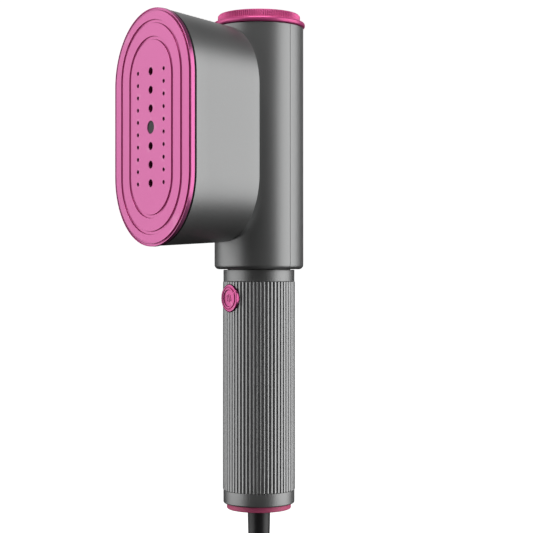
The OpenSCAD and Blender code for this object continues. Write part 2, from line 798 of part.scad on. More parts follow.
module inner_lead() color(black)
    translate([0, 0, cord_route[0][2]]) cylinder(h = clamp_z + 8 - cord_route[0][2], r = cord_r);

module strain_relief() color(black) difference() {
    flange_z = ferrule_bottom + 2.4;
    rotate_extrude() polygon([
        [0, relief_end], [relief_end_r - 0.8, relief_end], [relief_end_r, relief_end + 1],
        [relief_top_r, ring_bottom], [relief_top_r, flange_z], [relief_top_r + 3, flange_z],
        [relief_top_r + 3, flange_z + 2], [0, flange_z + 2]
    ]);
    translate([0, 0, relief_end - 1]) cylinder(h = relief_h + 30, r = cord_r);
}

module power_cord() color(black)
    tube_along(smooth(cord_route, 2), cord_r, 10, [1, 0, 0]);

// Outline of the hank in x and z: two round ends and a waist at the tie
module hank_outline() {
    waist = hank_waist + cord_r + 0.6;
    shoulder = hank_out_r - 2;
    for (side = [-1, 1]) translate([0, side * hank_half]) circle(hank_out_r);
    polygon([
        [-shoulder, hank_half], [-waist, tie_w], [-waist, -tie_w], [-shoulder, -hank_half],
        [shoulder, -hank_half], [waist, -tie_w], [waist, tie_w], [shoulder, hank_half]
    ]);
}

module cord_hank() color(black)
    translate([0, hank_d / 2, hank_z]) rotate([90, 0, 0]) linear_extrude(hank_d)
        hank_outline();

module cord_tie() color([0.12, 0.12, 0.12]) {
    waist = hank_waist + cord_r + 0.6;
    translate([0, 0, hank_z - tie_w / 2]) linear_extrude(tie_w) difference() {
        square([2 * (waist + tie_t), hank_d + 2 * tie_t], center = true);
        square([2 * waist, hank_d], center = true);
    }
}

module plug_body() color(black) translate([0, plug_y, plug_top - mains_h]) {
    linear_extrude(mains_h * 0.55) {
        square([2 * plug_half_w, 2 * plug_end_r], center = true);
        for (side = [-1, 1]) translate([side * plug_half_w, 0]) circle(plug_end_r);
    }
    translate([0, 0, mains_h * 0.55])
        cylinder(h = mains_h * 0.45, r1 = plug_end_r, r2 = 5.4);
    translate([0, 0, mains_h]) cylinder(h = plug_neck_h, r1 = 5.4, r2 = cord_r + 0.8);
}

module plug_pins() color(steel)
    for (side = [-1, 1])
        translate([side * pin_pitch / 2, plug_y, plug_top - mains_h - plug_pin_h]) {
            translate([0, 0, 1]) cylinder(h = plug_pin_h - 1, r = plug_pin_r);
            cylinder(h = 1, r1 = plug_pin_r - 0.8, r2 = plug_pin_r);
        }

soleplate();
plate_gasket();
centre_plug();
chamber_seal();
heater_block();
heating_element();
soleplate_screws();
thermostat();
thermal_fuse();
heat_shield();
head_shell();
neck_screws();
barrel_shell();
rear_cover();
water_tank();
filler_neck();
cap_seal();
filler_cap();
supply_hose();
delivery_hose();
pump_cylinder();
pump_plunger();
pump_spring();
pump_head();
valve_poppet();
valve_spring();
pump_coil();
pump_yoke();
pump_cradle();
heater_leads();
handle_core();
lock_ring();
neck_collar();
grip_sleeve();
lower_ferrule();
end_ring();
steam_button();
button_guide();
button_spring();
switch_plunger();
switch_body();
switch_bracket();
control_board();
capacitor();
power_triac();
cord_clamp();
clamp_screws();
inner_lead();
strain_relief();
power_cord();
cord_hank();
cord_tie();
plug_body();
plug_pins();
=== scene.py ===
"""Looks of the handheld garment steamer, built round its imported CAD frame.

The steamer's sizes are in millimetres until solid_mesh() or cord_curve() turns them into
metres; those of the camera, floor and lights are in metres. The frame is the CAD's: the
origin on the handle's axis at the neck collar, +Z up, the soleplate facing -Y.
"""

import json
import math

import bmesh
import bpy
import numpy as np
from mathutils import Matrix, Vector


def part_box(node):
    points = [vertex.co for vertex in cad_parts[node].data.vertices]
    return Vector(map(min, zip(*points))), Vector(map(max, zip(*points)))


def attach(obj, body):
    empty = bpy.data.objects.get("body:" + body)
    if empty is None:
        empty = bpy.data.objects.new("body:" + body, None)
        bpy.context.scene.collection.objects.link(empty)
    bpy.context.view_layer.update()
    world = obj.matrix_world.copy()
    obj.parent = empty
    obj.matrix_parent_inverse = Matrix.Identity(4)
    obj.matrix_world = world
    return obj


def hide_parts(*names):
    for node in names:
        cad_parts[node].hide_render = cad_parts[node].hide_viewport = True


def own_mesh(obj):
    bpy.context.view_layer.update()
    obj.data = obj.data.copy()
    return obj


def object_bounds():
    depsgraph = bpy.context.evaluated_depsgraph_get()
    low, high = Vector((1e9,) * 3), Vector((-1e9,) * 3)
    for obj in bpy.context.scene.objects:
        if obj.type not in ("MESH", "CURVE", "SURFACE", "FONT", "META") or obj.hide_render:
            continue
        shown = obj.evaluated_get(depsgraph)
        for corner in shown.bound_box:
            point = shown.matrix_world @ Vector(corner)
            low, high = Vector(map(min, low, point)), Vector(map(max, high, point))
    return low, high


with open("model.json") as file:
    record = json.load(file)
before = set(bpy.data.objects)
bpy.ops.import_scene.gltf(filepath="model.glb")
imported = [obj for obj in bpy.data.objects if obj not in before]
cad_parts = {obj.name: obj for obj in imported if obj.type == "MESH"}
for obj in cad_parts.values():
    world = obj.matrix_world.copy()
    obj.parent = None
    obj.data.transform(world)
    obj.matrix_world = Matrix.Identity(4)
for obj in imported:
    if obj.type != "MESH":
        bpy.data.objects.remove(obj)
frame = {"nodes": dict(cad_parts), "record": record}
cad_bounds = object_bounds()

MM = 0.001
TAU = 2 * math.pi


# ---- places that the CAD gives ----


def node_box(node):
    """A CAD node's lowest and highest corners, in millimetres."""
    low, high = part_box(node)
    return Vector(low) / MM, Vector(high) / MM


plate_low, plate_high = node_box("soleplate")
barrel_low, barrel_high = node_box("barrel_shell")
collar_low, collar_high = node_box("neck_collar")
grip_low, grip_high = node_box("grip_sleeve")
ferrule_low, ferrule_high = node_box("lower_ferrule")
ring_low, ring_high = node_box("end_ring")
button_low, button_high = node_box("steam_button")
cap_low, cap_high = node_box("filler_cap")
tie_low, tie_high = node_box("cord_tie")
relief_low = node_box("strain_relief")[0]
plug_low = node_box("plug_body")[0]

HEAD_Z = (plate_low.z + plate_high.z) / 2
FACE_T = -plate_low.y  # distance from the barrel's axis to the soleplate's face
BARREL_R = 24.4
WALL = 2.0  # thickness of the head and barrel shells


# ---- camera: at the photograph's angle, level with the neck collar ----

CAMERA_AZIMUTH = math.radians(54)
CAMERA_DISTANCE = 0.770
CAMERA_SIDE = 0.00416
CAMERA_HEIGHT = 0.00275
CAMERA_PITCH = math.radians(0.164)
CAMERA_LENS = 94.56
CAMERA_SENSOR = 36
CAMERA_CLIP = (0.01, 50)

to_camera = Vector((math.sin(CAMERA_AZIMUTH), -math.cos(CAMERA_AZIMUTH), 0))
camera_right = Vector((math.cos(CAMERA_AZIMUTH), math.sin(CAMERA_AZIMUTH), 0))

camera_data = bpy.data.cameras.new("photo_camera")
camera_data.sensor_width = CAMERA_SENSOR
camera_data.lens = CAMERA_LENS
camera_data.clip_start, camera_data.clip_end = CAMERA_CLIP
camera = bpy.data.objects.new("photo_camera", camera_data)
camera.location = (
    to_camera * CAMERA_DISTANCE
    + camera_right * CAMERA_SIDE
    + Vector((0, 0, CAMERA_HEIGHT))
)
camera.rotation_euler = (math.pi / 2 + CAMERA_PITCH, 0, CAMERA_AZIMUTH)
bpy.context.scene.collection.objects.link(camera)
bpy.context.scene.camera = camera


# ---- mesh helpers ----


WELD = 1e-7  # metres; vertices closer than this become one
SHARP = 32  # degrees; an edge that turns more than this is shaded as sharp


def link(name, data, body):
    """A new object that rides on a body."""
    piece = bpy.data.objects.new(name, data)
    bpy.context.scene.collection.objects.link(piece)
    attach(piece, body)
    return piece


def solid_mesh(name, verts, faces, weld=True):
    """A mesh with its faces turned outwards, from vertices in millimetres."""
    mesh = bpy.data.meshes.new(name)
    mesh.from_pydata([tuple(c * MM for c in v) for v in verts], [], faces)
    work = bmesh.new()
    work.from_mesh(mesh)
    if weld:
        bmesh.ops.remove_doubles(work, verts=work.verts, dist=WELD)
    bmesh.ops.recalc_face_normals(work, faces=work.faces)
    work.to_mesh(mesh)
    work.free()
    return mesh


def shade(mesh, sharp):
    """Smooth shading, with edges sharper than an angle in degrees kept crisp."""
    mesh.shade_smooth()
    mesh.set_sharp_from_angle(angle=math.radians(sharp))


def mesh_piece(name, verts, faces, material, slot, body="housing", sharp=SHARP, nodes=()):
    """A smooth-shaded piece from vertices in millimetres; nodes are the ones it stands for."""
    mesh = solid_mesh(name, verts, faces)
    mesh.materials.append(material)
    shade(mesh, sharp)
    piece = link(name, mesh, body)
    if nodes:
        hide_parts(*nodes)
    return piece


def rounded(corners, steps=5):
    """An outline of (a, b, fillet) corners, with an arc at each corner that has a fillet."""
    points = []
    count = len(corners)
    for i, (a, b, fillet) in enumerate(corners):
        here = np.array((a, b), float)
        if fillet <= 0 or i in (0, count - 1):
            points.append(tuple(here))
            continue
        before = np.array(corners[i - 1][:2], float) - here
        after = np.array(corners[(i + 1) % count][:2], float) - here
        before /= np.linalg.norm(before)
        after /= np.linalg.norm(after)
        half = math.acos(np.clip(before @ after, -1, 1)) / 2
        back = fillet / math.tan(half)
        centre = here + (before + after) / np.linalg.norm(before + after) * (
            fillet / math.sin(half)
        )
        start, end = here + before * back - centre, here + after * back - centre
        turn = math.atan2(start[0] * end[1] - start[1] * end[0], float(np.dot(start, end)))
        for k in range(steps + 1):
            cos, sin = math.cos(turn * k / steps), math.sin(turn * k / steps)
            points.append(
                (
                    centre[0] + start[0] * cos - start[1] * sin,
                    centre[1] + start[0] * sin + start[1] * cos,
                )
            )
    return points


def loft(rings, close=False):
    """Vertices and faces through rings of the same length. close joins the last ring to the
    first; otherwise each end gets one face."""
    n = len(rings[0])
    verts = [tuple(v) for ring in rings for v in ring]
    faces = []
    last = len(rings) if close else len(rings) - 1
    for i in range(last):
        a, b = i * n, ((i + 1) % len(rings)) * n
        for j in range(n):
            k = (j + 1) % n
            faces.append((a + j, a + k, b + k, b + j))
    if not close:
        faces.append(tuple(range(n))[::-1])
        faces.append(tuple(range((len(rings) - 1) * n, len(rings) * n)))
    return verts, faces


def polar(r, angle, z):
    """The point at a radius and an angle about Z."""
    return r * math.cos(angle), r * math.sin(angle), z


def turned(outline, steps, close=False):
    """A lathed form about Z from an outline of (radius, z)."""
    rings = [[polar(r, TAU * j / steps, z) for j in range(steps)] for r, z in outline]
    return loft(rings, close)


def stadium(w, s, arc=40, run=18):
    """The head's outline: round ends of radius w, with their centres s above and below."""
    half = [
        (w * math.cos(math.pi * k / arc), s + w * math.sin(math.pi * k / arc))
        for k in range(arc + 1)
    ]
    half += [(-w, s - 2 * s * k / run) for k in range(1, run)]
    return half + [(-x, -v) for x, v in half]


HEAD_MIN_W = 0.02  # the least radius of a ring, so that its vertices stay apart


def head_ring(w, s, t):
    """A stadium ring of the head, t in front of the barrel's axis."""
    return [(x, -t, HEAD_Z + v) for x, v in stadium(max(w, HEAD_MIN_W), s)]


def applied(piece, modifiers):
    """Applies modifiers, given as (type, settings), to a piece's mesh."""
    for kind, settings in modifiers:
        modifier = piece.modifiers.new(kind.lower(), kind)
        for key, value in settings.items():
            setattr(modifier, key, value)
    bpy.context.view_layer.update()
    result = bpy.data.meshes.new_from_object(
        piece.evaluated_get(bpy.context.evaluated_depsgraph_get())
    )
    old = piece.data
    piece.modifiers.clear()
    piece.data = result
    bpy.data.meshes.remove(old)
    return piece


def cut(piece, cutter_verts, cutter_faces, sharp=SHARP):
    """Cuts a form, given in millimetres, out of a piece."""
    mesh = solid_mesh("cutter", cutter_verts, cutter_faces, weld=False)
    cutter = bpy.data.objects.new("cutter", mesh)
    bpy.context.scene.collection.objects.link(cutter)
    applied(piece, [("BOOLEAN", {"operation": "DIFFERENCE", "solver": "EXACT", "object": cutter})])
    bpy.data.objects.remove(cutter)
    bpy.data.meshes.remove(mesh)
    shade(piece.data, sharp)
    return piece


def joined(forms):
    """Several (verts, faces) forms as one."""
    verts, faces = [], []
    for v, f in forms:
        base = len(verts)
        verts += v
        faces += [tuple(base + i for i in face) for face in f]
    return verts, faces


# ---- materials ----


def tree_of(name):
    """A new material, its node tree and its shader."""
    material = bpy.data.materials.new(name)
    material.use_nodes = True
    tree = material.node_tree
    return material, tree, tree.nodes["Principled BSDF"]


def add(tree, kind, **settings):
    """A new node; each setting is one of its inputs or else one of its properties."""
    node = tree.nodes.new(kind)
    for key, value in settings.items():
        if key in node.inputs:
            node.inputs[key].default_value = value
        else:
            setattr(node, key, value)
    return node


def noise(tree, scale, detail=3.0, roughness=0.55):
    """Noise in the part's own metres."""
    place = add(tree, "ShaderNodeTexCoord")
    texture = add(tree, "ShaderNodeTexNoise", Scale=scale, Detail=detail, Roughness=roughness)
    tree.links.new(place.outputs["Object"], texture.inputs["Vector"])
    return texture.outputs["Fac"]


def remap(tree, value, low, high, to_low, to_high):
    """A value that runs from low to high, made to run from to_low to to_high."""
    ends = {"From Min": low, "From Max": high, "To Min": to_low, "To Max": to_high}
    node = add(tree, "ShaderNodeMapRange", **ends)
    tree.links.new(value, node.inputs["Value"])
    return node.outputs["Result"]


MIX_FACTOR, MIX_A, MIX_B, MIX_RESULT = 0, 6, 7, 2  # the colour sockets of a mix node


def mix_colour(tree, factor, a, b):
    """Colour a, or b where the factor is 1; each of the two is a socket or a colour."""
    node = add(tree, "ShaderNodeMix", data_type="RGBA")
    for socket, value in ((node.inputs[MIX_A], a), (node.inputs[MIX_B], b)):
        if isinstance(value, bpy.types.NodeSocket):
            tree.links.new(value, socket)
        else:
            socket.default_value = (*value, 1)
    tree.links.new(factor, node.inputs[MIX_FACTOR])
    return node.outputs[MIX_RESULT]


def brighter(colour, by):
    """A colour made brighter or darker, and no brighter than white."""
    return tuple(min(1, c * by) for c in colour)


EDGE_WEAR_AND_HIGHLIGHT_AT = (0.53, 0.60)  # the pointiness at which an edge starts to be painted lighter, as wear and as a painted highlight, and is fully so
WORN_AND_LIT_SHARE, WORN_AND_LIT_LIGHT = 0.6, 0.35  # a lightened edge keeps this share of its colour and adds this: wear and painted highlight together


def finish(
    name,
    colour,
    roughness,
    metallic=0.0,
    grain=2600.0,
    bump=0.00002,
    patch=55.0,
    shift=0.05,
    rough_shift=0.05,
    wear=0.12,
    specular=0.5,
):
    """A moulded, lacquered or metal surface: slow patches shift its colour and roughness, fine
    grain raises it, and edges are painted lighter: partly wear, partly a painted highlight."""
    material, tree, shader = tree_of(name)
    slow = noise(tree, patch, 2.0)
    fine = noise(tree, grain, 2.0, 0.6)
    dark, light = brighter(colour, 1 - shift), brighter(colour, 1 + shift)
    base = mix_colour(tree, slow, dark, light)
    base = mix_colour(tree, remap(tree, fine, 0.35, 0.65, 0, shift * 2), base, light)
    # Convex edges get a lighter colour: partly wear, partly a painted edge highlight.
    edge = add(tree, "ShaderNodeNewGeometry").outputs["Pointiness"]
    worn_and_lit = tuple(min(1, c * WORN_AND_LIT_SHARE + WORN_AND_LIT_LIGHT) for c in colour)
    base = mix_colour(tree, remap(tree, edge, *EDGE_WEAR_AND_HIGHLIGHT_AT, 0, wear), base, worn_and_lit)
    tree.links.new(base, shader.inputs["Base Color"])
    tree.links.new(
        remap(tree, slow, 0.3, 0.7, roughness - rough_shift, roughness + rough_shift),
        shader.inputs["Roughness"],
    )
    raise_it = add(tree, "ShaderNodeBump", Strength=0.6, Distance=bump)
    tree.links.new(fine, raise_it.inputs["Height"])
    tree.links.new(raise_it.outputs["Normal"], shader.inputs["Normal"])
    shader.inputs["Metallic"].default_value = metallic
    shader.inputs["Specular IOR Level"].default_value = specular
    return material


FLAKE_SCALE = 5200.0
FLAKE_SHARE = 0.10  # how much of the brightest flake's colour shows
FLAKE_LIGHT = 1.6


def lacquer(name, colour, roughness, metallic, **more):
    material = finish(name, colour, roughness, metallic, **more)
    tree = material.node_tree
    shader = tree.nodes["Principled BSDF"]
    base = shader.inputs["Base Color"].links[0].from_socket
    place = add(tree, "ShaderNodeTexCoord")
    flakes = add(tree, "ShaderNodeTexVoronoi", Scale=FLAKE_SCALE)
    tree.links.new(place.outputs["Object"], flakes.inputs["Vector"])
    spark = remap(tree, flakes.outputs["Color"], 0.0, 1.0, 0.0, FLAKE_SHARE)
    tree.links.new(
        mix_colour(tree, spark, base, brighter(colour, FLAKE_LIGHT)), shader.inputs["Base Color"]
    )
    return material


def woven(name, colour):
    """A narrow woven strap."""
    material, tree, shader = tree_of(name)
    place = add(tree, "ShaderNodeTexCoord")
    weave = add(tree, "ShaderNodeTexBrick", Scale=900.0)
    for thread, by in (("Color1", 1.0), ("Color2", 1.5), ("Mortar", 0.4)):
        weave.inputs[thread].default_value = (*brighter(colour, by), 1)
    tree.links.new(place.outputs["Object"], weave.inputs["Vector"])
    tree.links.new(weave.outputs["Color"], shader.inputs["Base Color"])
    tree.links.new(
        remap(tree, noise(tree, 300), 0.3, 0.7, 0.75, 0.95), shader.inputs["Roughness"]
    )
    raise_it = add(tree, "ShaderNodeBump", Strength=0.8, Distance=0.0001)
    tree.links.new(weave.outputs["Fac"], raise_it.inputs["Height"])
    tree.links.new(raise_it.outputs["Normal"], shader.inputs["Normal"])
    shader.inputs["Sheen Weight"].default_value = 0.3
    return material


GRAPHITE = (0.235, 0.237, 0.237)
FUCHSIA = (0.60, 0.075, 0.25)
PLATE_PINK = (0.50, 0.122, 0.295)
BUTTON_PINK = (0.50, 0.092, 0.25)
RING_PINK = (0.60, 0.088, 0.21)
GRIP_GREY = (0.268, 0.270, 0.271)
CALM = {"patch": 14, "shift": 0.02, "rough_shift": 0.012}  # the even grey of body and grip

# The edge values below set how much lighter convex edges are painted: partly wear, partly a
# painted highlight.
body_lacquer = lacquer("body_lacquer", GRAPHITE, 0.44, 0.94, wear=0.08, **CALM)
fuchsia_lacquer = lacquer(
    "fuchsia_lacquer", FUCHSIA, 0.36, 0.42, patch=45, shift=0.04, rough_shift=0.03
)
plate_coat = lacquer(
    "plate_coat", PLATE_PINK, 0.31, 0.9, patch=30, shift=0.03, rough_shift=0.02
)
button_coat = lacquer("button_coat", BUTTON_PINK, 0.28, 0.88, patch=60, shift=0.04, wear=0.3)
ring_coat = lacquer("ring_coat", RING_PINK, 0.55, 0.1, patch=60, shift=0.04, wear=0.1)
grip_lacquer = lacquer("grip_lacquer", GRIP_GREY, 0.31, 0.96, bump=0.000006, wear=0.1, **CALM)
cord_pvc = finish("cord_pvc", (0.012, 0.012, 0.013), 0.42, grain=1800, bump=0.00004, wear=0.03)
strap_weave = woven("strap_weave", (0.016, 0.016, 0.018))

# Slot: (colour, roughness, metallic) of the nodes that keep their CAD mesh
SLOT_FINISH = {
    "clear_silicone": ((0.62, 0.60, 0.57), 0.35, 0.0),
    "cast_aluminium": ((0.55, 0.56, 0.57), 0.5, 0.95),
    "element_steel": ((0.42, 0.41, 0.40), 0.35, 1.0),
    "bakelite": ((0.03, 0.018, 0.012), 0.4, 0.0),
    "shield_board": ((0.62, 0.56, 0.43), 0.85, 0.0),
    "tank_plastic": ((0.55, 0.60, 0.64), 0.18, 0.0),
    "neck_plastic": ((0.10, 0.10, 0.105), 0.42, 0.0),
    "white_nylon": ((0.72, 0.71, 0.68), 0.45, 0.0),
    "bright_steel": ((0.62, 0.62, 0.63), 0.25, 1.0),
    "coil_winding": ((0.48, 0.20, 0.08), 0.35, 0.8),
    "lead_sleeve": ((0.60, 0.56, 0.46), 0.7, 0.0),
    "switch_red": ((0.55, 0.04, 0.03), 0.4, 0.0),
    "circuit_board": ((0.02, 0.13, 0.05), 0.4, 0.0),
    "capacitor_can": ((0.03, 0.04, 0.10), 0.35, 0.0),
    "triac_metal": ((0.45, 0.45, 0.46), 0.4, 0.9),
}
# The material of each slot, for the CAD nodes that are kept
KEPT = {
    slot: finish(slot + "_finish", colour, roughness, metallic)
    for slot, (colour, roughness, metallic) in SLOT_FINISH.items()
}
KEPT.update(
    black_silicone=finish("matt_gasket", (0.007, 0.007, 0.008), 0.85, specular=0.06, wear=0.02),
    dark_steel=finish("dark_disc", (0.022, 0.021, 0.024), 0.5, specular=0.25, wear=0.05),
    body_paint=body_lacquer,
    fuchsia_plastic=fuchsia_lacquer,
    plate_coating=plate_coat,
    cord_pvc=cord_pvc,
    tie_strap=strap_weave,
)
slot_of = {
    node: entry["slot"]
    for entry in frame["record"]["materials"]
    for node in entry.get("nodes", [])
}
for name, node in frame["nodes"].items():
    for place in node.material_slots:
        packed = place.material.name.split(".")[0] if place.material else ""
        wanted = slot_of.get(name) or packed
        if wanted in KEPT:
            place.material = KEPT[wanted]


# ---- cord, wound in a hank below the handle ----

CORD_D = 6.6
HANK_Z = -298.0
HANK_R = 20.4
HANK_WAIST = 4.6
HANK_HALF = 44.0
HANK_TURNS = 5
HANK_PITCH = 6.7
PLUG_Y = 19.0

# The route out of the handle, and then down in front of the hank to its waist
lead_out = [
    (0, 0, -160), (0, 0, -166), (0, 0, -172), (0, 0, -176), (0, -1, -182),
    (0, -3, -188), (0, -6, -194), (0, -10, -200), (0, -14, -206), (0, -17, -212),
    (0, -19, -218), (0, -20, -224), (0, -20, -230), (0.1, -20.2, -238),
    (0.5, -20.4, -247), (1.2, -20.3, -257), (2.2, -19.7, -268), (3.4, -18.6, -279),
    (4.3, -17.3, -289),
]
# The route from the waist at the back of the hank down into the plug
tail_in = [
    (5.4, 17.3, -307), (5.6, 18.1, -317), (4.9, 18.7, -327), (3.4, 19.1, -337),
    (1.7, 19.2, -347), (0.5, 19.1, -356), (0, 19, -364), (0, 19, -370),
]


def hank_x(z):
    """How far a strand is from the middle of the hank, above or below its waist."""
    return HANK_WAIST + (HANK_R - HANK_WAIST) * (1 - math.cos(math.pi * abs(z) / HANK_HALF)) / 2


def hank_turn():
    """One turn of the hank seen from the front, as (x, height above its middle)."""
    run, fold = 10, 12
    down = [(hank_x(HANK_HALF * k / run), -HANK_HALF * k / run) for k in range(run)]
    under = [
        (HANK_R * math.cos(math.pi * k / fold), -HANK_HALF - HANK_R * math.sin(math.pi * k / fold))
        for k in range(fold)
    ]
    up = [(-hank_x(HANK_HALF * (1 - k / run)), -HANK_HALF * (1 - k / run)) for k in range(run)]
    lower = down + under + up
    return lower + [(-x, -z) for x, z in lower]


def wound():
    """The turns of the hank, each a little further back than the one before."""
    turn = hank_turn()
    points = [turn[i % len(turn)] for i in range(len(turn) * HANK_TURNS + 1)]
    line = np.array(points)
    along = np.concatenate([[0], np.cumsum(np.linalg.norm(np.diff(line, axis=0), axis=1))])
    share = along / along[-1]
    start = -HANK_PITCH * HANK_TURNS / 2
    return [
        (x, start + HANK_PITCH * HANK_TURNS * s, HANK_Z + z)
        for (x, z), s in zip(points, share)
    ]


def smoothed(points, steps):
    """A smooth line through points (Catmull-Rom)."""
    p = [np.array(q, float) for q in points]
    line = []
    for i in range(len(p) - 1):
        a, b, c, d = p[max(i - 1, 0)], p[i], p[i + 1], p[min(i + 2, len(p) - 1)]
        for k in range(steps):
            t = k / steps
            line.append(
                0.5 * (2 * b + (c - a) * t + (2 * a - 5 * b + 4 * c - d) * t * t
                       + (3 * b - a - 3 * c + d) * t ** 3)
            )
    line.append(p[-1])
    return line


def cord_curve(name, points, diameter, material):
    """A round cord through points in millimetres."""
    curve = bpy.data.curves.new(name, "CURVE")
    curve.dimensions = "3D"
    curve.bevel_depth = diameter / 2 * MM
    curve.bevel_resolution = 6
    curve.use_fill_caps = True
    spline = curve.splines.new("POLY")
    spline.points.add(len(points) - 1)
    for place, p in zip(spline.points, points):
        place.co = (*(float(c) * MM for c in p), 1)
    curve.materials.append(material)
    return curve


cord_line = smoothed(lead_out + wound() + tail_in, 3)
cord_piece = link("mains_cord", cord_curve("mains_cord", cord_line, CORD_D, cord_pvc), "housing")
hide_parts("power_cord", "cord_hank")


def strap_loop(half_w, half_d, z0, z1, thick, corner):
    """A strap round the hank's waist: a rounded rectangle seen from above."""
    arc = 8
    soft = thick * 0.35
    quarters = ((1, 1), (-1, 1), (-1, -1), (1, -1))

    def outline(grow):
        points = []
        for first, (sx, sy) in enumerate(quarters):
            for k in range(arc + 1):
                x, y, _ = polar(corner + grow, (first + k / arc) * math.pi / 2, 0)
                points.append((sx * (half_w - corner) + x, sy * (half_d - corner) + y))
        return points

    section = rounded(
        [(0, z0, 0), (0, z0, 0), (thick, z0, soft), (thick, z1, soft), (0, z1, 0), (0, z1, 0)], 3
    )
    rings = [[(x, y, z) for x, y in outline(out)] for out, z in section]
    return loft(rings, close=True)


TIE_IN_W = 8.1
TIE_IN_D = 20.6
TIE_THICK = 1.6
TIE_CORNER = 4.5
tie_form = strap_loop(TIE_IN_W, TIE_IN_D, tie_low.z, tie_high.z, TIE_THICK, TIE_CORNER)
tie = mesh_piece("cord_strap", *tie_form, strap_weave, "tie_strap", nodes=("cord_tie",))


def plug_ring(w, d, z):
    """A ring of the plug: round ends of radius d, w between their centres and the middle."""
    return [(v, PLUG_Y + x, z) for x, v in stadium(d, w, 20)]


def plug_form():
    """The plug: wide where its pins leave, and narrow where the cord comes in."""
    bottom = plug_low.z
    stations = [  # (w, d, z)
        (8.1, 9.0, bottom), (8.3, 9.7, bottom + 0.4), (8.3, 10.0, bottom + 1.4),
        (8.3, 10.0, bottom + 9), (8.2, 9.9, bottom + 12), (7.6, 9.2, bottom + 15),
        (7.4, 8.6, bottom + 17.5), (7.2, 8.6, bottom + 20), (6.6, 8.3, bottom + 24),
        (5.2, 7.6, bottom + 28), (3.2, 6.6, bottom + 31.5), (1.2, 5.7, bottom + 34),
        (0.3, 5.1, bottom + 36.5), (0.05, 4.7, bottom + 39), (0.05, 4.4, bottom + 41.5),
        (0.05, 4.1, bottom + 42.7), (0.05, 3.7, bottom + 43),
    ]
    return loft([plug_ring(*s) for s in stations])


plug = mesh_piece(
    "mains_plug", *plug_form(), cord_pvc, "cord_pvc", sharp=45, nodes=("plug_body",)
)


# ---- soleplate: a coated plate with two grooves, steam holes and a bevelled rim ----

PLATE_W = 38.0
PLATE_S = 24.2
PLATE_BACK = FACE_T - 2.8
SPIGOT_W = 33.4
SPIGOT_T = PLATE_BACK - 2.5
FLANGE = 2.2
STEP = 0.3
STEP_DEEP = 0.6  # depth of the dark step between the rim and the face
STEP_W = PLATE_W - 1.3
BEVEL_W = STEP_W - 0.4
FACE_W = BEVEL_W - 1.1  # where the flat face begins
GROOVE_S = PLATE_S + 1.45
GROOVE_OUT_W = 29.5
GROOVE_IN_W = 20.9
GROOVE_HALF = 0.9
GROOVE_DEEP = 0.85
GROOVE_DRAFT = 0.15
GROOVE_MARGIN = 0.5  # the flat ring kept beside a groove
FIELD_RINGS = (18.5, 16.5, 14.6, 11.0, 9.0, 7.0, 5.0, 3.0, 1.2, 0.1)  # across the flat middle


def plate_outline():
    """The plate's section as (radius of the round ends, distance from the axis, fillet)."""
    step = PLATE_BACK + FLANGE
    section = [
        (SPIGOT_W, SPIGOT_T, 0), (SPIGOT_W, PLATE_BACK, 0),
        (PLATE_W, PLATE_BACK, 0.15), (PLATE_W, step, 0.1),
        (PLATE_W - 0.35, step, 0.05), (PLATE_W - 0.42, step - STEP_DEEP, 0.05),
        (STEP_W, step - STEP_DEEP, 0.05), (STEP_W, step + STEP, 0.05),
        (BEVEL_W + 0.2, FACE_T - 0.16, 0.1), (BEVEL_W - 0.75, FACE_T, 0.1),
        (FACE_W, FACE_T, 0),
    ]
    for middle in (GROOVE_OUT_W, GROOVE_IN_W):
        outer, inner = middle + GROOVE_HALF, middle - GROOVE_HALF
        section += [
            (outer + GROOVE_MARGIN, FACE_T, 0), (outer, FACE_T, 0.1),
            (outer - GROOVE_DRAFT, FACE_T - GROOVE_DEEP, 0.2),
            (inner + GROOVE_DRAFT, FACE_T - GROOVE_DEEP, 0.2),
            (inner, FACE_T, 0.1), (inner - GROOVE_MARGIN, FACE_T, 0),
        ]
    section += [(w, FACE_T, 0) for w in FIELD_RINGS]
    return rounded(section, 4)


def ring_length(w):
    """Half the straight length at a radius: the rim's outside, the grooves' inside."""
    field = GROOVE_OUT_W + GROOVE_HALF + GROOVE_MARGIN
    share = min(1.0, max(0.0, (FACE_W - w) / (FACE_W - field)))
    return PLATE_S + (GROOVE_S - PLATE_S) * share


def plate_ring(w, t):
    """A ring of the plate; the spigot behind it is as long as the rim."""
    on_rim = w > BEVEL_W - 1.2 or t < PLATE_BACK + 0.1
    return head_ring(w, PLATE_S if on_rim else ring_length(w), t)


plate = mesh_piece(
    "steam_plate", *loft([plate_ring(w, t) for w, t in plate_outline()]), plate_coat,
    "plate_coating", nodes=("soleplate",),
)

SIDE_X = 12.8
SIDE_PITCH = 6.5
SIDE_COUNT = 10
SIDE_R = 0.9
MID_FIRST = 19.6
MID_PITCH = 9.7
MID_COUNT = 3
MID_R = 1.9
DISC_R = 3.3  # the recess in front of the dark disc in the middle
DISC_DEEP = 1
BORE_PAST = 1  # how far a steam hole is cut past the back of the spigot


def bore(x, v, r, back, flare=0.22):
    """A drilled hole with a small countersink, as a form to cut."""
    steps = 28
    stations = [
        (r, back), (r, FACE_T - flare), (r + flare, FACE_T), (r + flare + 0.5, FACE_T + 0.5)
    ]
    angles = [TAU * k / steps for k in range(steps)]
    rings = [
        [(x + q * math.cos(a), -t, HEAD_Z + v + q * math.sin(a)) for a in angles]
        for q, t in stations
    ]
    return loft(rings)


steam_bores = [
    bore(side * SIDE_X, (k - (SIDE_COUNT - 1) / 2) * SIDE_PITCH, SIDE_R, SPIGOT_T - BORE_PAST)
    for side in (-1, 1)
    for k in range(SIDE_COUNT)
]
steam_bores += [
    bore(0, side * (MID_FIRST / 2 + k * MID_PITCH), MID_R, SPIGOT_T - BORE_PAST)
    for side in (-1, 1)
    for k in range(MID_COUNT)
]
steam_bores.append(bore(0, 0, DISC_R, FACE_T - DISC_DEEP, 0.15))
cut(plate, *joined(steam_bores))
applied(plate, [("WEIGHTED_NORMAL", {"keep_sharp": True})])


# ---- head shell ----

